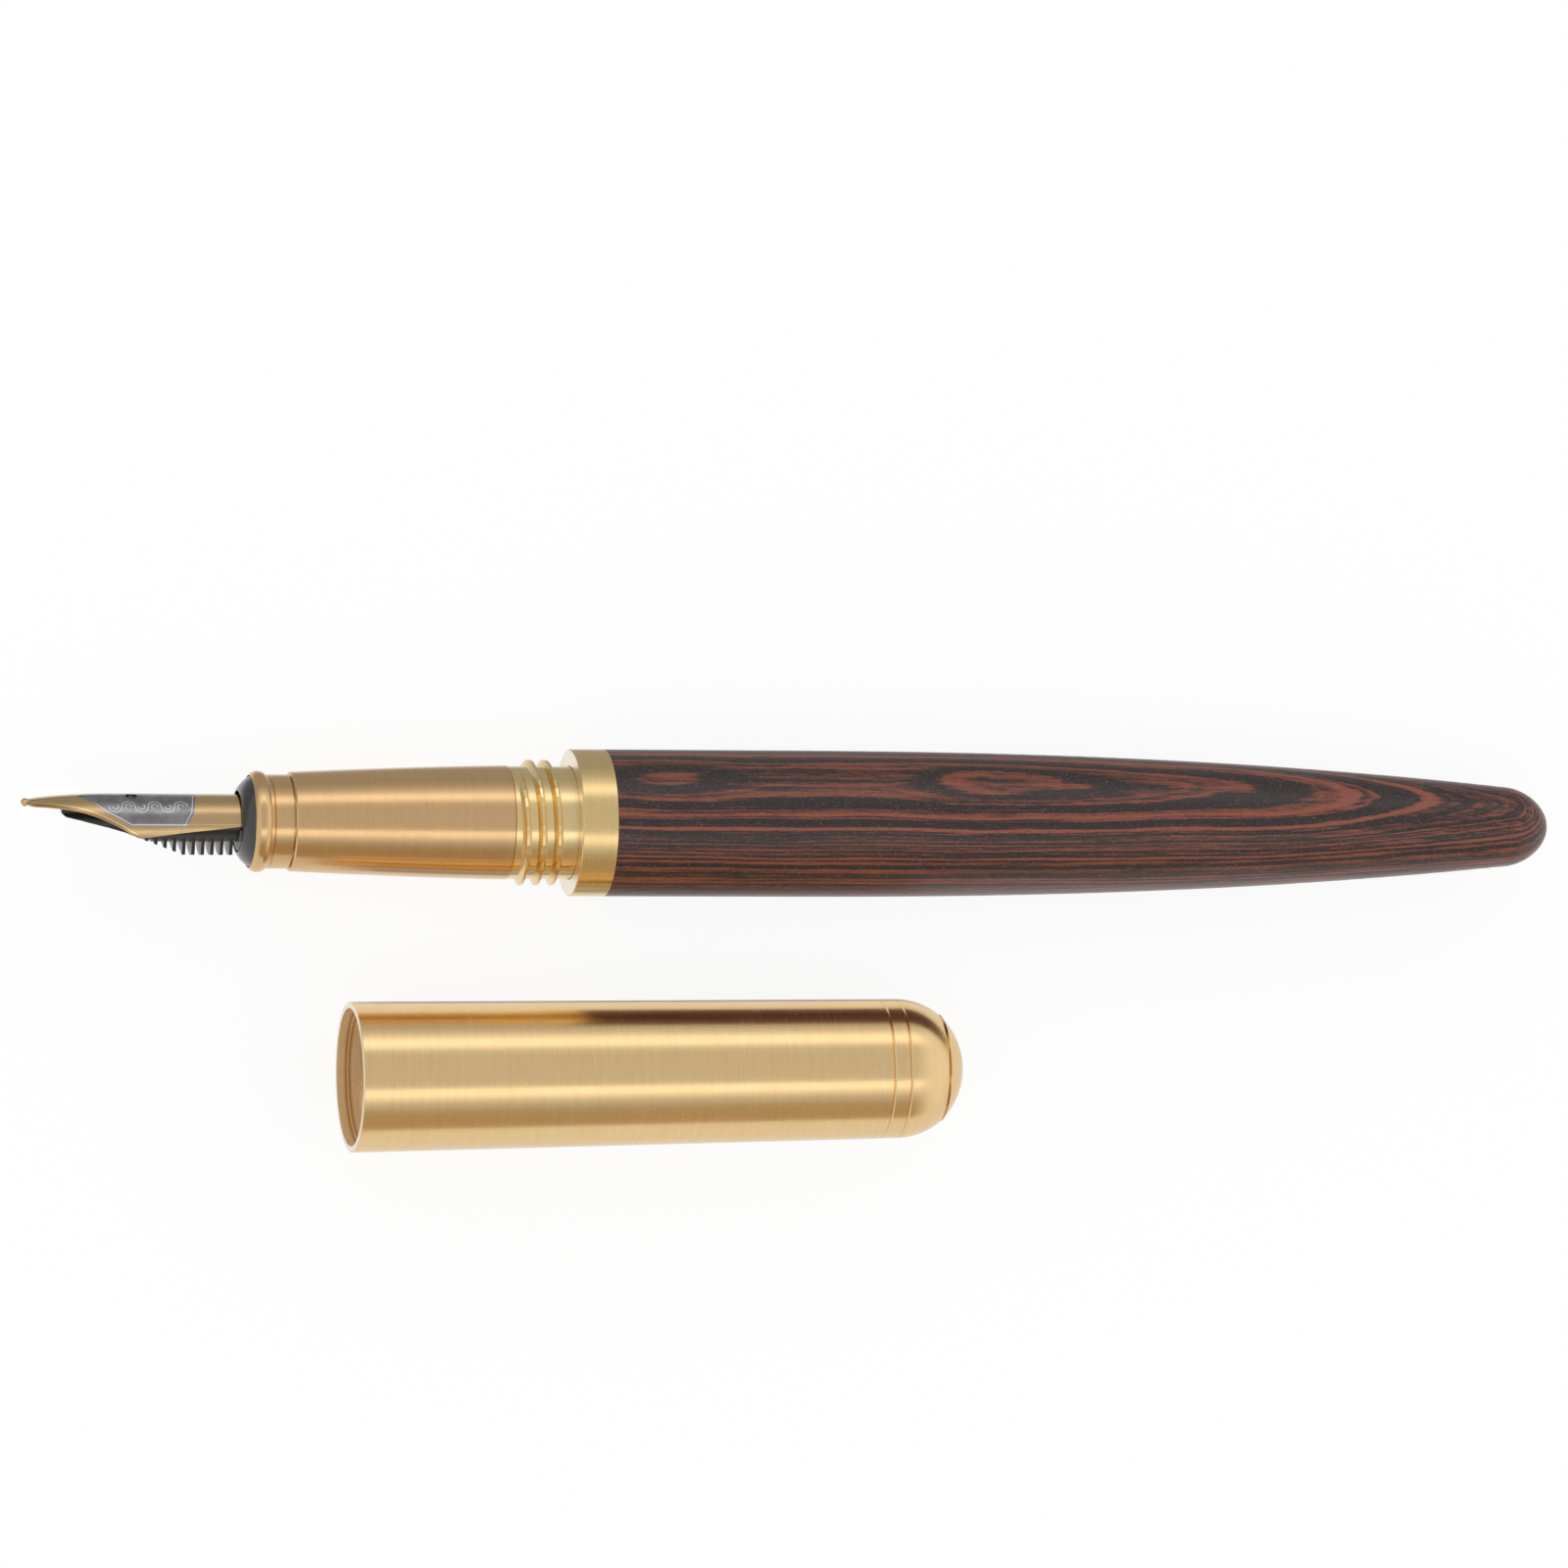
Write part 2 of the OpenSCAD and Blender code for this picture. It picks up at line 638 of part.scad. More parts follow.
module cap_finial() {
    ball_r = (pow(seam_r, 2) + pow(cap_len - seam_x, 2)) / (2 * (cap_len - seam_x));
    start = acos(seam_r / ball_r);
    top = arc([0, cap_len - ball_r], ball_r, start, 90, 14);
    color(brass)
        cap_frame()
            turned(concat(
                [[0, end_wall_x - 1.4], [stud_r, end_wall_x - 1.4], [stud_r, seam_x + gap],
                 [seam_r - 0.16, seam_x + gap], [seam_r - 0.04, seam_x + 0.12]],
                [for (i = [1:13]) top[i]],
                [[0, cap_len]]));
}

// ---------------------------------------------------------------- nodes

module at_rest() {
    translate(pen_at)
        children();
}

at_rest() barrel_wood();
at_rest() barrel_liner();
at_rest() barrel_insert();
at_rest() center_ring();
at_rest() o_ring();
at_rest() section_core();
at_rest() grip_sleeve();
at_rest() nose_ring();
at_rest() nib_housing();
at_rest() nib();
at_rest() nib_tipping();
at_rest() feed();
at_rest() converter_tube();
at_rest() converter_band();
at_rest() converter_guide();
at_rest() piston_stem();
at_rest() piston_seal();
at_rest() converter_knob();
at_rest() lead_screw();
at_rest() cap_tube();
at_rest() cap_thread_bush();
at_rest() inner_cap();
at_rest() cap_finial();
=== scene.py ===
import math

import bpy
from mathutils import Matrix, Quaternion, Vector


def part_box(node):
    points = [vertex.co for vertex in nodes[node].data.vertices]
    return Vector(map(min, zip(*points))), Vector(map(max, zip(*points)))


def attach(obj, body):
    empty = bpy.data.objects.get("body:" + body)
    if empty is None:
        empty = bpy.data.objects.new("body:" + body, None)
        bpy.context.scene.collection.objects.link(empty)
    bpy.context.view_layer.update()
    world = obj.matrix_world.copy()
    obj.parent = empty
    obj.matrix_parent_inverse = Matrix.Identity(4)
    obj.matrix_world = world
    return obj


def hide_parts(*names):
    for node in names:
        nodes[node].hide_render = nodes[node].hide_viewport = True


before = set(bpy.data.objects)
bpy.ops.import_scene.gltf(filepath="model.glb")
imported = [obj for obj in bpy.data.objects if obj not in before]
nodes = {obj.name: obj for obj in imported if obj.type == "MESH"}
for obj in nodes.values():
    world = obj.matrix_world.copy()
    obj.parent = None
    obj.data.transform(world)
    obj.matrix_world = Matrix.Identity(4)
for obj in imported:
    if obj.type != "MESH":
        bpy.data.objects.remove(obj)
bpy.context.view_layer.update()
MM = 0.001


def centre(node):
    low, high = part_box(node)
    return (Vector(low) + Vector(high)) / 2


# The pen's axis and the front face of its centre ring, and the cap's axis and mouth, from the CAD.
ring_low, ring_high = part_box("center_ring")
PEN = Vector((ring_low[0], centre("center_ring").y, centre("center_ring").z))
bush_mid = centre("cap_thread_bush")
CAP_AXIS = (centre("cap_finial") - bush_mid).normalized()
bush_low, bush_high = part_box("cap_thread_bush")
BUSH_DEPTH = 0.85 * MM  # how far inside the mouth the bush starts
CAP = bush_mid - CAP_AXIS * ((bush_high[0] - bush_low[0]) / 2 + BUSH_DEPTH)


# ------------------------------------------------------------------ node helpers

class Graph:
    """A small helper that builds one node tree."""

    def __init__(self, tree):
        self.tree = tree
        self.tree.nodes.clear()

    def put(self, socket, value):
        if isinstance(value, bpy.types.NodeSocket):
            self.tree.links.new(value, socket)
        elif value is not None:
            socket.default_value = value

    def node(self, kind, *values, **props):
        n = self.tree.nodes.new(kind)
        for key, value in props.items():
            setattr(n, key, value)
        for i, value in enumerate(values):
            self.put(n.inputs[i], value)
        return n

    def math(self, op, a, b=None):
        return self.node("ShaderNodeMath", a, b, operation=op).outputs[0]

    def vec(self, op, a, b=None, out=0):
        n = self.node("ShaderNodeVectorMath", a, b, operation=op)
        return n.outputs[out]

    def combine(self, x, y, z):
        return self.node("ShaderNodeCombineXYZ", x, y, z).outputs[0]

    def split(self, v):
        return self.node("ShaderNodeSeparateXYZ", v).outputs

    def noise(self, vector, scale=1.0, detail=2.0, rough=0.5, dims="3D"):
        n = self.tree.nodes.new("ShaderNodeTexNoise")
        n.noise_dimensions = dims
        self.put(n.inputs["W" if dims == "1D" else "Vector"], vector)
        n.inputs["Scale"].default_value = scale
        n.inputs["Detail"].default_value = detail
        n.inputs["Roughness"].default_value = rough
        return n.outputs[0]

    def ramp(self, fac, stops):
        n = self.node("ShaderNodeValToRGB", fac)
        ramp = n.color_ramp
        while len(ramp.elements) > 1:
            ramp.elements.remove(ramp.elements[-1])
        for i, (at, value) in enumerate(stops):
            e = ramp.elements[0] if i == 0 else ramp.elements.new(at)
            e.position = at
            e.color = (*value, 1) if isinstance(value, tuple) else (value, value, value, 1)
        return n.outputs[0]

    def remap(self, value, a, b, c, d, smooth=False):
        n = self.node("ShaderNodeMapRange", value, a, b, c, d)
        if smooth:
            n.interpolation_type = "SMOOTHSTEP"
        return n.outputs[0]

    def mix(self, fac, a, b):
        n = self.tree.nodes.new("ShaderNodeMix")
        n.data_type = "RGBA"
        self.put(n.inputs[0], fac)
        for socket, value in ((n.inputs[6], a), (n.inputs[7], b)):
            if isinstance(value, tuple) and len(value) == 3:
                value = (*value, 1)
            self.put(socket, value)
        return n.outputs[2]

    def bump(self, height, distance, strength=1.0):
        n = self.tree.nodes.new("ShaderNodeBump")
        n.inputs["Strength"].default_value = strength
        n.inputs["Distance"].default_value = distance
        self.put(n.inputs["Height"], height)
        return n.outputs[0]


def material(name):
    m = bpy.data.materials.new(name)
    m.use_nodes = True
    return m, Graph(m.node_tree)


def shader(g, color, rough, normal=None, **sockets):
    """A Principled shader wired to the output. Other sockets are named with underscores for spaces."""
    bsdf = g.tree.nodes.new("ShaderNodeBsdfPrincipled")
    out = g.tree.nodes.new("ShaderNodeOutputMaterial")
    if isinstance(color, tuple):
        color = (*color, 1)
    g.put(bsdf.inputs["Base Color"], color)
    g.put(bsdf.inputs["Roughness"], rough)
    g.put(bsdf.inputs["Normal"], normal)
    for key, value in sockets.items():
        g.put(bsdf.inputs[key.replace("_", " ")], value)
    g.tree.links.new(bsdf.outputs[0], out.inputs["Surface"])


def local_mm(g, origin, axis=Vector((1, 0, 0))):
    """Object coordinates as (along the axis, across, up), in millimetres from origin."""
    coords = g.tree.nodes.new("ShaderNodeTexCoord").outputs["Object"]
    p = g.vec("SUBTRACT", coords, tuple(origin))
    side = Vector((0, 0, 1)).cross(axis).normalized()
    up = axis.cross(side)
    parts = [g.math("MULTIPLY", g.vec("DOT_PRODUCT", p, tuple(v), out=1), 1000.0)
             for v in (axis, side, up)]
    return g.combine(*parts)


# ------------------------------------------------------------------ materials

BORE_METAL = 0.3        # the bores are duller than the outside, which lets their paler colour show as painted light
BORE_RADII = (5.84, 5.94)   # the bore's look fades out between these radii, in millimetres,
BORE_DEPTHS = (38.0, 40.0)  # and between these depths behind the cap's mouth
THREAD_PITCH = 1.35
TARNISH = 0.06
# painted shade: dark rings THREAD_PITCH apart stand for the grooves of a thread in the cap's bore
GROOVE_SHADE = (0.6, 0.46, 0.3)


def brushed_brass(name, origin, axis, tint, rough=0.24, lines=1.0, aniso=0.55, face_highlight=None, inside=None):
    """Turned brass: fine rings round the axis, a satin grain and slight tarnish.

    Surfaces square to the axis can be given a paler colour, a painted highlight. inside is the colour of the
    cap's bore within BORE_RADII and BORE_DEPTHS, given paler than the outside as painted light, with dark
    rings of painted shade for a thread's grooves.
    """
    m, g = material(name)
    p = local_mm(g, origin, axis)
    x, y, z = g.split(p)

    def rings(along, around, detail, grit):
        v = g.combine(g.math("MULTIPLY", x, along), g.math("MULTIPLY", y, around),
                      g.math("MULTIPLY", z, around))
        return g.noise(v, 1.0, detail, grit)

    fine = rings(14.0, 0.35, 4.0, 0.7)
    coarse = rings(2.2, 0.15, 3.0, 0.6)
    grain = g.noise(p, 9.0, 3.0, 0.6)
    cloud = g.noise(p, 0.35, 3.0, 0.6)
    shade = g.math("ADD", g.remap(fine, 0.3, 0.7, 1 - 0.045 * lines, 1 + 0.045 * lines),
                   g.math("ADD", g.remap(coarse, 0.3, 0.7, -0.02 * lines, 0.02 * lines),
                          g.remap(grain, 0.3, 0.7, -0.02, 0.02)))
    color = g.mix(g.remap(cloud, 0.35, 0.7, 0.0, TARNISH), tint,
                  tuple(c * k for c, k in zip(tint, (0.86, 0.74, 0.6))))
    if inside:
        bore = g.math("SQRT", g.math("ADD", g.math("MULTIPLY", y, y), g.math("MULTIPLY", z, z)))
        # dark rings of painted shade along the bore, for a thread's grooves
        turns = g.math("SINE", g.math("MULTIPLY", x, 2 * math.pi / THREAD_PITCH))
        groove_shade = tuple(c * k for c, k in zip(inside, GROOVE_SHADE))
        thread_shade_color = g.mix(g.remap(turns, -0.9, 0.1, 1.0, 0.0), inside, groove_shade)
        within = g.math("MULTIPLY", g.remap(bore, *BORE_RADII, 1.0, 0.0), g.remap(x, *BORE_DEPTHS, 1.0, 0.0))
        color = g.mix(within, color, thread_shade_color)
    # painted highlight: surfaces square to the axis take the given paler colour
    if face_highlight:
        normal = g.tree.nodes.new("ShaderNodeNewGeometry").outputs["Normal"]
        square = g.math("ABSOLUTE", g.vec("DOT_PRODUCT", normal, tuple(axis), out=1))
        color = g.mix(g.remap(square, 0.9, 0.98, 0.0, 1.0), color, face_highlight)
    toned = g.node("ShaderNodeVectorMath", color, operation="SCALE")
    g.put(toned.inputs["Scale"], shade)
    roughness = g.math("ADD", g.remap(fine, 0.3, 0.7, rough - 0.03 * lines, rough + 0.03 * lines),
                       g.math("ADD", g.remap(cloud, 0.3, 0.7, -0.02, 0.03),
                              g.remap(grain, 0.3, 0.7, -0.03, 0.03)))
    height = g.math("ADD", fine, g.math("MULTIPLY", grain, 0.7))
    tangent = g.node("ShaderNodeTangent", direction_type="RADIAL", axis="X")
    metal = 1.0
    if inside:
        metal = g.remap(within, 0.0, 1.0, 1.0, BORE_METAL)
    shader(g, toned.outputs[0], roughness, g.bump(height, 1.6e-6 * lines), Metallic=metal, Anisotropic=aniso,
           Anisotropic_Rotation=0.25, Tangent=tangent.outputs[0])
    return m


def plastic(name, color, rough, speck=0.04, face_highlight=None, **extra):
    """Moulded plastic. Surfaces square to the pen can be given their own tone, a painted reflection of the
    light they catch.
    """
    m, g = material(name)
    p = local_mm(g, PEN)
    grain = g.noise(p, 6.0, 3.0, 0.6)
    tone = g.mix(g.remap(grain, 0.35, 0.65, 0.0, 1.0), tuple(c * (1 - speck * 2) for c in color),
                 tuple(min(1, c * (1 + speck * 2)) for c in color))
    if face_highlight:
        normal = g.tree.nodes.new("ShaderNodeNewGeometry").outputs["Normal"]
        square = g.math("ABSOLUTE", g.vec("DOT_PRODUCT", normal, (1, 0, 0), out=1))
        tone = g.mix(g.remap(square, 0.9, 0.98, 0.0, 1.0), tone, face_highlight)
    shader(g, tone, g.remap(grain, 0.3, 0.7, rough - speck, rough + speck), g.bump(grain, 2e-6), **extra)
    return m


WOOD_LEAN = math.radians(38)    # how far the wood's layers lean from level
WOOD_BANDS = 2.9                # scale of the broad bands across the layers, for each millimetre
WOOD_THREADS = 7.0              # and of the fine ones
WOOD_STOPS = [(0.46, (0.018, 0.010, 0.009)), (0.492, (0.034, 0.015, 0.012)), (0.516, (0.125, 0.032, 0.019)),
              (0.55, (0.225, 0.056, 0.030)), (0.62, (0.30, 0.080, 0.042))]
PORE_TINT = (0.012, 0.007, 0.006)
FLECK_TINT = (0.40, 0.19, 0.13)


def wood_material():
    """Dark red-brown wood with black stripes, close and straight where its layers stand on edge."""
    m, g = material("barrel_wood_grain")
    p = local_mm(g, PEN)
    x, y, z = g.split(p)

    def streaks(along, across, detail=2.0, rough=0.5, lift=0.0):
        v = g.combine(g.math("MULTIPLY", x, along), g.math("MULTIPLY", y, across),
                      g.math("ADD", g.math("MULTIPLY", z, across), lift))
        return g.noise(v, 1.0, detail, rough)

    flat = g.math("ADD", g.math("MULTIPLY", y, math.sin(WOOD_LEAN)),
                  g.math("MULTIPLY", z, math.cos(WOOD_LEAN)))
    drift = g.remap(streaks(0.026, 0.07, 2.0), 0.0, 1.0, -0.7, 0.7)
    ripple = g.remap(streaks(0.06, 0.5, 3.0, 0.6), 0.0, 1.0, -0.16, 0.16)
    layer = g.math("ADD", g.math("ADD", flat, drift), g.math("ADD", ripple, g.math("MULTIPLY", x, 0.006)))
    bands = g.noise(g.math("MULTIPLY", layer, WOOD_BANDS), 1.0, 2.0, 0.55, dims="1D")
    threads = g.noise(g.math("MULTIPLY", layer, WOOD_THREADS), 1.0, 2.0, 0.6, dims="1D")
    loose = streaks(0.05, 2.2, 3.0, 0.6, 3.1)
    figure = g.math("ADD", g.math("MULTIPLY", bands, 0.5),
                    g.math("ADD", g.math("MULTIPLY", threads, 0.24), g.math("MULTIPLY", loose, 0.26)))
    fibre = streaks(0.45, 7.0, 3.0, 0.7)
    figure = g.math("ADD", figure, g.remap(fibre, 0.0, 1.0, -0.1, 0.1))
    color = g.ramp(figure, WOOD_STOPS)
    pores = streaks(1.3, 13.0, 2.0, 0.5, 7.7)
    pore = g.remap(pores, 0.60, 0.69, 0.0, 1.0)
    color = g.mix(g.math("MULTIPLY", pore, 0.6), color, PORE_TINT)
    flecks = streaks(3.2, 15.0, 2.0, 0.6, 1.3)
    fleck = g.remap(flecks, 0.60, 0.70, 0.0, 1.0)
    color = g.mix(g.math("MULTIPLY", fleck, 0.5), color, FLECK_TINT)
    rough = g.remap(figure, 0.4, 0.65, 0.38, 0.5)
    pits = g.math("SUBTRACT", pore, g.math("MULTIPLY", fleck, 0.4))
    height = g.math("SUBTRACT", g.math("MULTIPLY", figure, 0.6), pits)
    shader(g, color, rough, g.bump(height, 2.0e-5, 0.8), Specular_IOR_Level=0.42, Coat_Weight=0.3,
           Coat_Roughness=0.25, Sheen_Weight=0.14, Sheen_Roughness=0.3)
    return m


# ------------------------------------------------------------------ nib

# Sizes in millimetres, as in the CAD: u runs along the nib from the front of its sheet.
TIP_X = -46.25
ROLL = math.radians(68)
NIB_TOP = 2.25
SHEET = 0.25
NIB_LEN = 26.0
HOLE_U = 8.8
HOLE_R = 0.5
SLIT = 0.045            # half the slit's width
DROOP = 0.5             # how far the point drops, over the first DROOP_LEN
DROOP_LEN = 6.8
FIRST_U = 0.12          # where the mesh of the sheet starts
EDGE_ROUND = 0.06       # how far the trimmed edge is rounded in from either face
EDGE_OUT = 0.02         # and how far it bulges
WRAP = [(0, 8), (0.5, 16.5), (1.7, 25), (2.8, 32), (4, 40), (5.4, 51.5), (6.7, 64), (8.1, 79), (9.0, 90),
        (9.2, 91.9), (9.35, 92.4), (9.6, 91.9), (10.7, 89), (12.9, 84.5), (15.1, 80.5), (18.5, 73), (26, 73)]
BEND = [(0, 2.5), (5, 2.5), (9.5, 2.65), (15, 2.5), (26, 2.5)]


def table(points, u):
    """A smooth curve through the points."""
    for i in range(len(points) - 1):
        (a, va), (b, vb) = points[i], points[i + 1]
        if u <= b or i == len(points) - 2:
            before = points[i - 1] if i else points[0]
            after = points[i + 2] if i + 2 < len(points) else points[-1]
            slope_a = (vb - before[1]) / (b - before[0])
            slope_b = (after[1] - va) / (after[0] - a)
            t = min(1.0, max(0.0, (u - a) / (b - a)))
            w = b - a
            return ((2 * t ** 3 - 3 * t ** 2 + 1) * va + (t ** 3 - 2 * t ** 2 + t) * w * slope_a
                    + (3 * t ** 2 - 2 * t ** 3) * vb + (t ** 3 - t ** 2) * w * slope_b)


def nib_point(u, angle, depth):
    r = table(BEND, u)
    high = NIB_TOP - DROOP * max(0.0, 1 - u / DROOP_LEN) ** 2
    across = (r - depth) * math.sin(angle)
    up = high - r + (r - depth) * math.cos(angle)
    y = across * math.cos(ROLL) + up * math.sin(ROLL)
    z = -across * math.sin(ROLL) + up * math.cos(ROLL)
    return PEN + Vector((TIP_X + u, y, z)) * MM


def make_nib(look):
    """The nib's sheet with its slit, breather hole and rounded edges, whose polished look the material
    paints as shade and highlight.
    """
    front = [FIRST_U + (HOLE_U - HOLE_R - FIRST_U) * i / 70 for i in range(70)]
    hole = [HOLE_U - HOLE_R * math.cos(math.pi * i / 24) for i in range(25)]
    rear = [HOLE_U + HOLE_R + (NIB_LEN - HOLE_U - HOLE_R) * (i / 60) ** 1.3 for i in range(1, 61)]
    stations = front + hole + rear
    split = len(front) + len(hole) - 1
    half = 22
    verts, rows, trim = [], [], []
    for i, u in enumerate(stations):
        gap = 0.0
        if i < split:
            gap = SLIT
            if abs(u - HOLE_U) < HOLE_R:
                gap = max(SLIT, math.sqrt(HOLE_R ** 2 - (u - HOLE_U) ** 2))
        r = table(BEND, u)
        near, far = gap / r, math.radians(table(WRAP, u))
        angles = [near + (far - near) * k / half for k in range(half + 1)]
        loop = []
        for side in (-1, 1):
            turn = angles[::-1] if side < 0 else angles
            loop.append([nib_point(u, side * a, 0) for a in turn])
            loop.append([nib_point(u, side * a, SHEET) for a in turn])
        edge = far + EDGE_OUT / r
        depths = (EDGE_ROUND, SHEET - EDGE_ROUND)
        rim = [[nib_point(u, side * edge, d) for d in depths] for side in (-1, 1)]
        row = {}
        for key, points in (("ol", loop[0]), ("il", loop[1]), ("or", loop[2]), ("ir", loop[3]),
                            ("rl", rim[0]), ("rr", rim[1])):
            reach = [0.0] * len(points)
            if key in ("ol", "or"):
                reach = [(far - a) * r for a in (angles[::-1] if key == "ol" else angles)]
            shared = []
            if i >= split and key in ("or", "ir"):
                shared = [row["ol" if key == "or" else "il"][-1]]
                points, reach = points[1:], reach[1:]
            row[key] = shared + list(range(len(verts), len(verts) + len(points)))
            verts += points
            trim += reach
        rows.append(row)
    faces = []
    for i in range(len(rows) - 1):
        a, b = rows[i], rows[i + 1]

        def band(p, q, flip):
            for k in range(len(p) - 1):
                f = (p[k], p[k + 1], q[k + 1], q[k])
                faces.append(f[::-1] if flip else f)

        for key, flip in (("ol", False), ("or", False), ("il", True), ("ir", True)):
            band(a[key], b[key], flip)
        for sheet, under, rim, end, flip in (("ol", "il", "rl", 0, True), ("or", "ir", "rr", -1, False)):
            strip_a = [a[sheet][end], *a[rim], a[under][end]]
            strip_b = [b[sheet][end], *b[rim], b[under][end]]
            band(strip_a, strip_b, flip)
        if i < split:
            band([a["ol"][-1], a["il"][-1]], [b["ol"][-1], b["il"][-1]], False)
            band([a["or"][0], a["ir"][0]], [b["or"][0], b["ir"][0]], True)
    for row, flip in ((rows[0], True), (rows[-1], False)):
        for o, n in (("ol", "il"), ("or", "ir")):
            for k in range(half):
                f = (row[o][k], row[o][k + 1], row[n][k + 1], row[n][k])
                faces.append(f[::-1] if flip else f)
    mesh = bpy.data.meshes.new("nib_sheet")
    mesh.from_pydata([tuple(v) for v in verts], [], faces)
    mesh.attributes.new("from_edge", "FLOAT", "POINT").data.foreach_set("value", trim)
    mesh.shade_smooth()
    mesh.set_sharp_from_angle(angle=math.radians(40))
    obj = bpy.data.objects.new("nib_sheet", mesh)
    bpy.context.collection.objects.link(obj)
    mesh.materials.append(look)
    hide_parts("nib")
    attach(obj, "nib_unit")
    return obj


# A plain grey field within a gold edge: points (u, degrees from the nib's middle line) along its side line,
# and points (degrees, u) along its rear line.
GREY_FRONT = [(0, 0), (4.2, 0), (6.4, 44), (8.6, 72), (15, 72)]
GREY_REAR = [(0, 14.2), (45, 13.9), (90, 12.8)]
BORDER = 0.22           # the border line's distance inside the field's rear line
LINE = 0.036            # the engraved lines' reach to either side
RIM_IN = 3.0            # degrees from the field's side line to the line along it
RIM_LINE = 1.8          # that line's reach to either side, in degrees
# A running wave of half circles, each with a curl in it.
WAVE_COUNT = 6
WAVE_R = 0.55
WAVE_START = 7.3
WAVE_ANGLE = 33
CURL_R = 0.26
SCROLLS = []
for k in range(WAVE_COUNT):
    side = 180 if k % 2 else 0
    SCROLLS.append((WAVE_START + 2 * WAVE_R * k, WAVE_ANGLE, WAVE_R, side, side + 180))
    SCROLLS.append((WAVE_START + 2 * WAVE_R * k, WAVE_ANGLE, CURL_R, side - 60, side + 180))
SIDE_R = 2.6
TINE_END = (8.9, 9.4)   # u between which the tines' edge band of painted shade and painted highlight ends
BEVEL = 0.27            # its width


def nib_material():
    """Gold plate round a plain grey field, with a border line and a running wave of generic scrolls."""
    m, g = material("nib_two_tone")
    p = local_mm(g, PEN)
    x, y, z = g.split(p)
    u = g.math("SUBTRACT", x, TIP_X)
    up = g.math("ADD", g.math("MULTIPLY", y, math.sin(ROLL)), g.math("MULTIPLY", z, math.cos(ROLL)))
    across = g.math("SUBTRACT", g.math("MULTIPLY", y, math.cos(ROLL)), g.math("MULTIPLY", z, math.sin(ROLL)))
    turn = g.math("ABSOLUTE", g.math("ARCTAN2", across, g.math("ADD", up, 0.3)))
    degrees = g.math("MULTIPLY", turn, math.degrees(1))
    s = g.math("MULTIPLY", turn, SIDE_R)
    haze = g.noise(p, 1.1, 3.0, 0.6)
    wander = g.remap(haze, 0.0, 1.0, -1.5, 1.5)
    side_line = [(a / NIB_LEN, b / 90) for a, b in GREY_FRONT]
    front = g.math("MULTIPLY", g.ramp(g.math("DIVIDE", u, NIB_LEN), side_line), 90.0)
    rear_line = [(a / 90, b / 20) for a, b in GREY_REAR]
    rear = g.math("MULTIPLY", g.ramp(g.math("DIVIDE", degrees, 90.0), rear_line), 20.0)
    inside = g.remap(g.math("SUBTRACT", front, g.math("ADD", degrees, wander)), -1.5, 1.5, 0.0, 1.0)
    before = g.remap(g.math("SUBTRACT", rear, u), -0.06, 0.06, 0.0, 1.0)
    grey = g.math("MULTIPLY", inside, before)

    def thin(distance, width):
        return g.remap(distance, width * 0.5, width, 1.0, 0.0)

    scroll = None
    for cu, cs, radius, a, b in SCROLLS:
        du = g.math("SUBTRACT", u, cu)
        ds = g.math("SUBTRACT", s, math.radians(cs) * SIDE_R)
        far = g.math("SQRT", g.math("ADD", g.math("MULTIPLY", du, du), g.math("MULTIPLY", ds, ds)))
        ring = thin(g.math("ABSOLUTE", g.math("SUBTRACT", far, radius)), LINE)
        mid, reach = math.radians((a + b) / 2), math.radians((b - a) / 2)
        toward = g.math("DIVIDE", g.math("ADD", g.math("MULTIPLY", du, math.cos(mid)),
                                         g.math("MULTIPLY", ds, math.sin(mid))), far)
        part = g.math("MULTIPLY", ring, g.math("GREATER_THAN", toward, math.cos(reach)))
        scroll = part if scroll is None else g.math("MAXIMUM", scroll, part)
    rim = thin(g.math("ABSOLUTE", g.math("SUBTRACT", g.math("SUBTRACT", front, degrees), RIM_IN)), RIM_LINE)
    rim = g.math("MULTIPLY", rim, g.remap(u, 5.2, 5.8, 0.0, 0.7))
    scroll = g.math("MAXIMUM", scroll, rim)
    border = thin(g.math("ABSOLUTE", g.math("SUBTRACT", g.math("SUBTRACT", rear, u), BORDER)), LINE)
    scroll = g.math("MAXIMUM", scroll, border)

    along = g.combine(g.math("MULTIPLY", x, 0.5), g.math("MULTIPLY", y, 9.0), g.math("MULTIPLY", z, 9.0))
    brush = g.noise(along, 1.0, 3.0, 0.6)
    gold = g.mix(g.remap(brush, 0.3, 0.7, 0.0, 1.0), GOLD, tuple(c * 0.88 for c in GOLD))
    steel_grey = g.mix(g.remap(haze, 0.35, 0.65, 0.0, 1.0), (0.24, 0.232, 0.235), (0.345, 0.332, 0.335))
    color = g.mix(grey, gold, steel_grey)
    # along the tines' edges, a darker band of painted shade with a line of painted highlight at its inner
    # side
    edge = g.node("ShaderNodeAttribute", attribute_name="from_edge").outputs["Fac"]
    tine = g.remap(u, *TINE_END, 1.0, 0.0)
    bevel_shade = g.math("MULTIPLY", g.remap(edge, BEVEL - 0.03, BEVEL, 1.0, 0.0), tine)
    color = g.mix(g.math("MULTIPLY", bevel_shade, 0.5), color, (0.40, 0.23, 0.07))
    crest_highlight = g.math("MULTIPLY", thin(g.math("ABSOLUTE", g.math("SUBTRACT", edge, BEVEL)), 0.07), tine)
    color = g.mix(crest_highlight, color, (1.0, 0.74, 0.38))
    color = g.mix(g.math("MULTIPLY", scroll, grey), color, (0.95, 0.95, 0.95))
    rough = g.math("ADD", g.remap(brush, 0.3, 0.7, 0.2, 0.28), g.math("MULTIPLY", scroll, 0.15))
    height = g.math("SUBTRACT", g.math("MULTIPLY", brush, 0.05), g.math("MULTIPLY", scroll, 0.4))
    shader(g, color, rough, g.bump(height, 2.5e-5), Metallic=1.0)
    return m


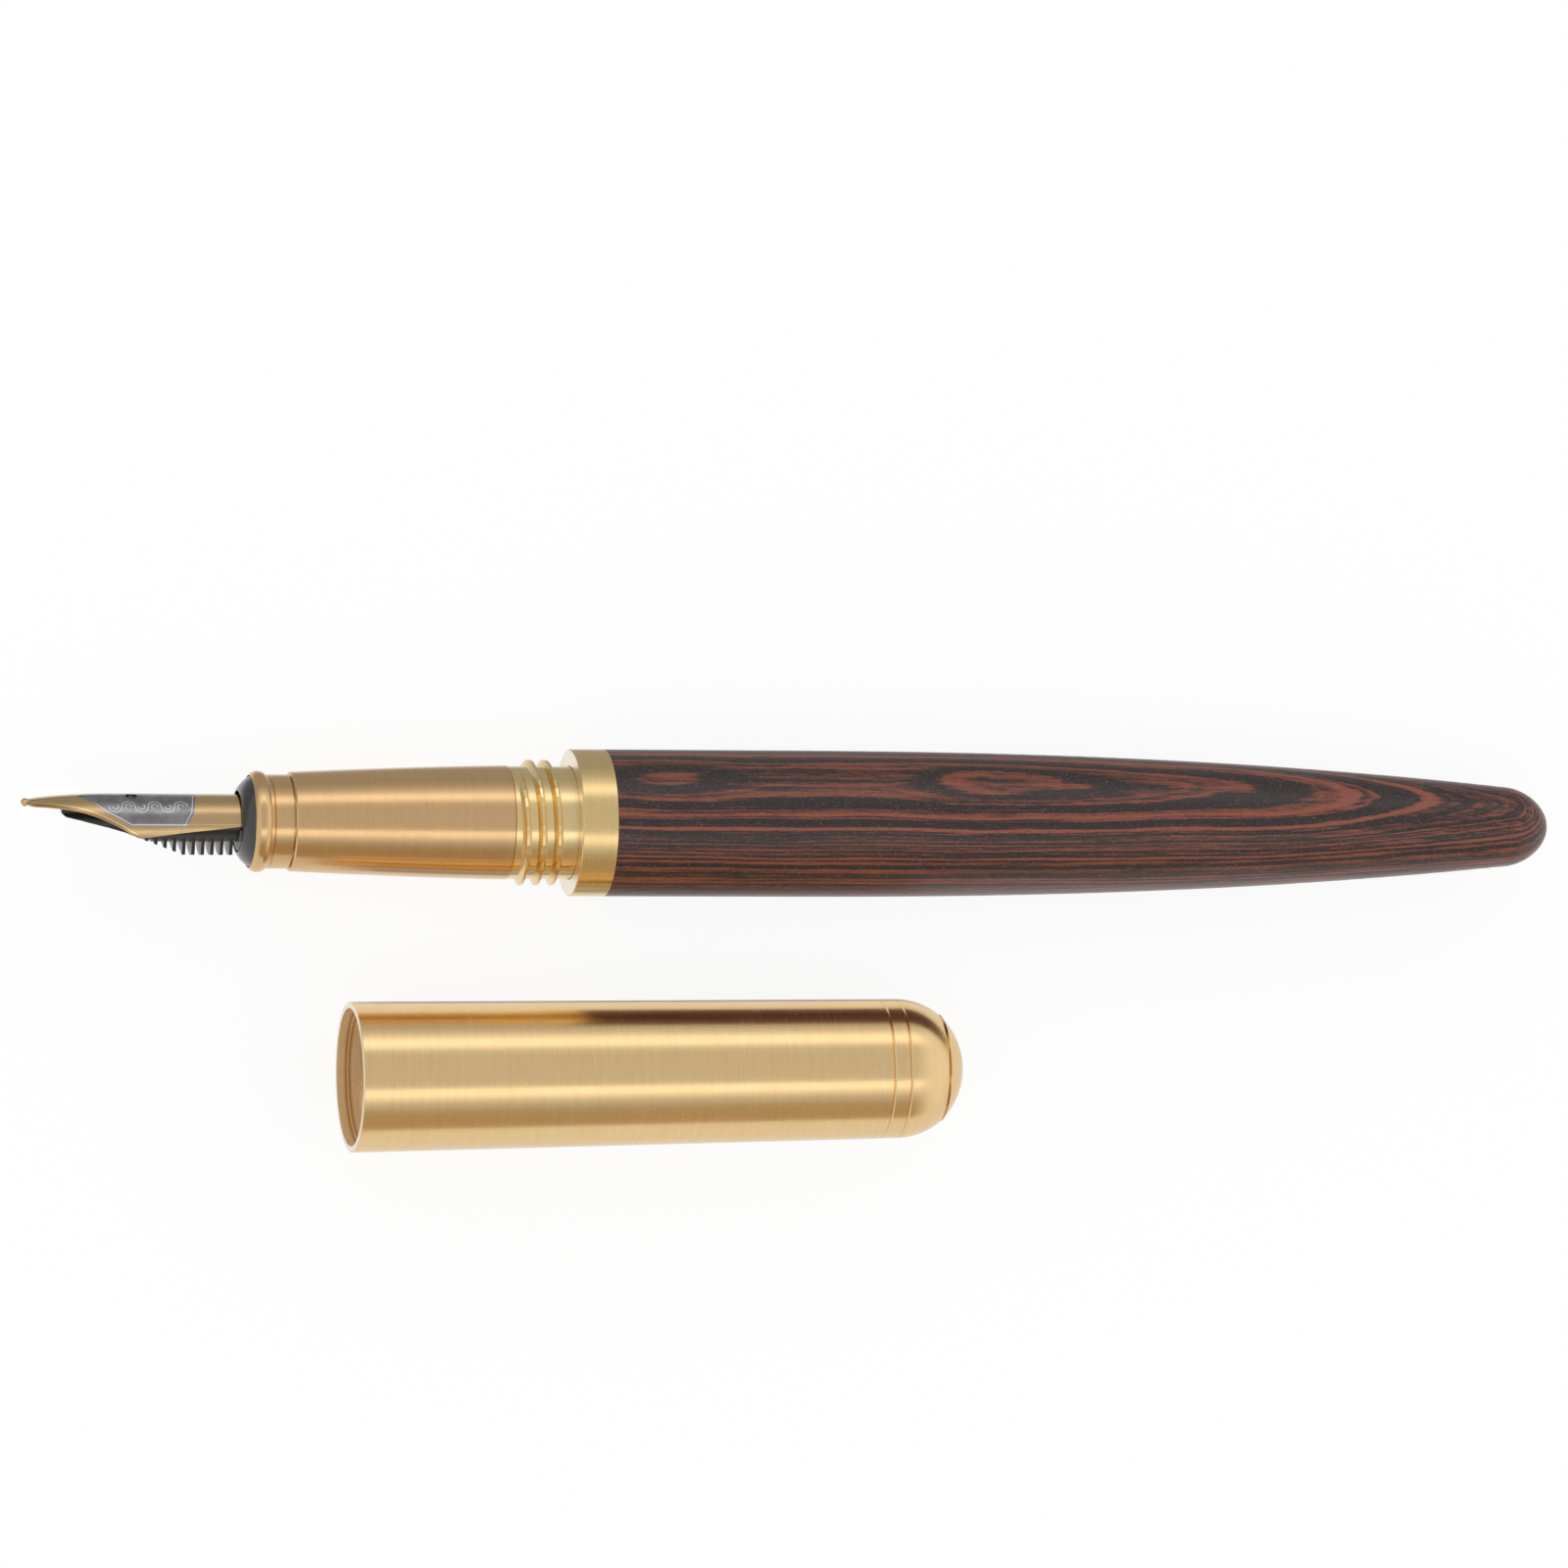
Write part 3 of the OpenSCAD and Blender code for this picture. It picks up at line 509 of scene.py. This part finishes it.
GOLD = (0.64, 0.445, 0.225)
GRIP_TINT = (0.745, 0.49, 0.245)
TURNED_TINT = (0.83, 0.61, 0.29)
CAP_TINT = (0.88, 0.625, 0.315)
X = Vector((1, 0, 0))

# painted highlight: the paler colour given to brass faces square to the axis
FACE_HIGHLIGHT = (0.93, 0.84, 0.72)
# painted light: the cap's bore and the bush in it are given a paler brass than the outside, to look lit
BORE_LIT_TINT = (0.97, 0.73, 0.42)
turned = brushed_brass("turned_brass", PEN, X, (0.87, 0.66, 0.34), 0.2, 0.7)
ring = brushed_brass("ring_brass", PEN, X, TURNED_TINT, 0.26, 1.1, face_highlight=FACE_HIGHLIGHT)
grip = brushed_brass("grip_brass", PEN, X, GRIP_TINT, 0.22, 1.0)
cap = brushed_brass("cap_brass", CAP, CAP_AXIS, CAP_TINT, 0.22, 1.0, face_highlight=FACE_HIGHLIGHT, inside=BORE_LIT_TINT)
finial = brushed_brass("finial_brass", CAP, CAP_AXIS, CAP_TINT, 0.24, 1.0)
bush = brushed_brass("bush_brass", CAP, CAP_AXIS, BORE_LIT_TINT, 0.3, 1.4, inside=BORE_LIT_TINT)
black = plastic("black_plastic", (0.008, 0.007, 0.006), 0.16, Specular_IOR_Level=0.75, Coat_Weight=0.6,
                Coat_Roughness=0.3)
# painted reflection: the feed's faces square to the pen are a lighter grey, standing for the pale floor they
# reflect
feed_black = plastic("feed_plastic", (0.022, 0.02, 0.018), 0.3, face_highlight=(0.33, 0.33, 0.34))
rubber = plastic("seal_rubber", (0.015, 0.015, 0.015), 0.6)
grey = plastic("grey_plastic", (0.35, 0.35, 0.36), 0.4)
clear = plastic("clear_plastic", (0.95, 0.97, 0.97), 0.08, 0.01, Transmission_Weight=0.95, IOR=1.49)
steel = brushed_brass("screw_steel", PEN, X, (0.56, 0.56, 0.57), 0.3)
gilt = brushed_brass("nib_gilt", PEN, X, (0.72, 0.48, 0.24), 0.2, 0.3, 0.2)
wood = wood_material()

LOOKS = {
    "barrel_wood": wood, "barrel_liner": turned, "barrel_insert": turned, "center_ring": ring,
    "o_ring": rubber, "section_core": turned, "grip_sleeve": grip, "nose_ring": grip,
    "nib_housing": black, "nib": gilt, "nib_tipping": gilt, "feed": feed_black,
    "converter_tube": clear, "converter_band": turned, "converter_guide": black,
    "piston_stem": grey, "piston_seal": rubber, "converter_knob": black, "lead_screw": steel,
    "cap_tube": cap, "cap_thread_bush": bush, "inner_cap": black, "cap_finial": finial,
}
for name, look in LOOKS.items():
    slots = nodes[name].data.materials
    for i in range(len(slots)):
        slots[i] = look
    if not slots:
        slots.append(look)
make_nib(nib_material())


# ------------------------------------------------------------------ stage, light and camera

# The floor glows as painted light. How bright metal and wood see it, from CARD_FROM to CARD_TO in y from the
# pen's axis, in metres. CARD_GAP, with a dark strip of painted shade between the pen and the cap, holds from
# GAP_START to GAP_END in x, where the cap lies beside the pen, and CARD_PLAIN elsewhere.
CARD_FROM = -0.030
CARD_TO = 0.010
CARD_PLAIN = [(0.0, 0.72), (0.9, 0.8), (0.99, 0.3)]
CARD_GAP = [(0.0, 0.72), (0.33, 0.5), (0.37, 0.25), (0.43, 0.3), (0.47, 0.8), (0.9, 0.8), (0.99, 0.3)]
GAP_START = (-0.019, -0.015)
GAP_END = (0.031, 0.035)


def make_floor():
    """A pale floor that glows as painted light; reflections see it darker in places, with painted shade
    between the pen and the cap.
    """
    mesh = bpy.data.meshes.new("floor")
    s = 8.0
    mesh.from_pydata([(-s, -s, 0), (s, -s, 0), (s, s, 0), (-s, s, 0)], [], [(0, 1, 2, 3)])
    obj = bpy.data.objects.new("floor", mesh)
    bpy.context.collection.objects.link(obj)
    m, g = material("floor_white")
    seen = g.tree.nodes.new("ShaderNodeLightPath").outputs["Is Camera Ray"]
    position = g.tree.nodes.new("ShaderNodeNewGeometry").outputs["Position"]
    place = g.split(g.vec("SUBTRACT", position, tuple(PEN)))
    across = g.remap(place[1], CARD_FROM, CARD_TO, 0.0, 1.0)
    plain = g.ramp(across, CARD_PLAIN)
    gap = g.ramp(across, CARD_GAP)
    started = g.remap(place[0], *GAP_START, 0.0, 1.0)
    beside = g.math("MULTIPLY", started, g.remap(place[0], *GAP_END, 1.0, 0.0))
    card = g.mix(beside, plain, gap)
    glow = g.node("ShaderNodeEmission", g.mix(seen, card, (0.88, 0.88, 0.88)), 1.0)
    matte = g.node("ShaderNodeBsdfDiffuse")
    matte.inputs["Color"].default_value = (0.15, 0.15, 0.15, 1)
    both = g.node("ShaderNodeAddShader", glow.outputs[0], matte.outputs[0])
    out = g.node("ShaderNodeOutputMaterial", both.outputs[0])
    mesh.materials.append(m)
    obj.location = (0, 0, -0.00002)


# How bright the studio is, by the angle round the pen's axis from straight up, positive towards +Y.
STUDIO = [(-180, 0.8), (-92, 0.8), (-88, (0.48, 0.38, 0.26)), (-75, (0.44, 0.35, 0.23)),
          (-61, (0.44, 0.36, 0.25)), (-54, (0.46, 0.42, 0.34)), (-47, 0.54), (-40, 0.68), (-34, 0.98),
          (-28, 1.36), (-20, 1.44), (-17, 0.70), (-13, 0.64), (30, 0.62), (40, 0.66), (45, 0.94),
          (50, 1.36), (58, 1.42), (63, 1.04), (70, 0.74), (78, 0.56), (88, 0.44), (92, 0.8), (180, 0.8)]
STUDIO_LEFT = (0.8, 0.8, 0.8)
STUDIO_RIGHT = (0.92, 0.92, 0.92)


def make_world():
    """The studio's light, which is even towards both ends of the pen."""
    world = bpy.data.worlds.new("studio")
    bpy.context.scene.world = world
    world.use_nodes = True
    g = Graph(world.node_tree)
    x, y, z = g.split(g.tree.nodes.new("ShaderNodeTexCoord").outputs["Generated"])
    angle = g.math("ARCTAN2", y, z)
    level = g.ramp(g.remap(angle, -math.pi, math.pi, 0, 1), [((a + 180) / 360, v) for a, v in STUDIO])
    left = g.remap(x, -0.8, -0.3, 1.0, 0.0, smooth=True)
    right = g.remap(x, 0.3, 0.8, 0.0, 1.0, smooth=True)
    level = g.mix(left, level, STUDIO_LEFT)
    level = g.mix(right, level, STUDIO_RIGHT)
    seen = g.tree.nodes.new("ShaderNodeLightPath").outputs["Is Camera Ray"]
    color = g.mix(seen, level, (1.0, 1.0, 1.0))
    back = g.node("ShaderNodeBackground", color, 1.0)
    g.node("ShaderNodeOutputWorld", back.outputs[0])


CAMERA_TILT = math.radians(13.2)
CAMERA_ROLL = math.radians(0.3)
CAMERA_DISTANCE = 0.833
CAMERA_LENS = 225.6
CAMERA_TARGET = Vector((18.65, 3.36, 0))    # millimetres from the front face of the centre ring


def make_camera():
    """A camera above the pen, tilted towards its nib."""
    data = bpy.data.cameras.new("camera")
    data.sensor_width = 36
    data.lens = CAMERA_LENS
    data.clip_start = 0.01
    data.clip_end = 50
    obj = bpy.data.objects.new("camera", data)
    bpy.context.collection.objects.link(obj)
    target = PEN + CAMERA_TARGET * MM
    back = Vector((-math.sin(CAMERA_TILT), 0, math.cos(CAMERA_TILT)))
    level = Vector((math.cos(CAMERA_TILT), 0, math.sin(CAMERA_TILT)))
    right = Quaternion(back, CAMERA_ROLL) @ level
    up = back.cross(right)
    turn = Matrix((right, up, back)).transposed().to_4x4()
    obj.matrix_world = Matrix.Translation(target + back * CAMERA_DISTANCE) @ turn
    bpy.context.scene.camera = obj


make_floor()
make_world()
make_camera()
bpy.context.scene.view_settings.view_transform = "Standard"
bpy.context.scene.view_settings.look = "None"
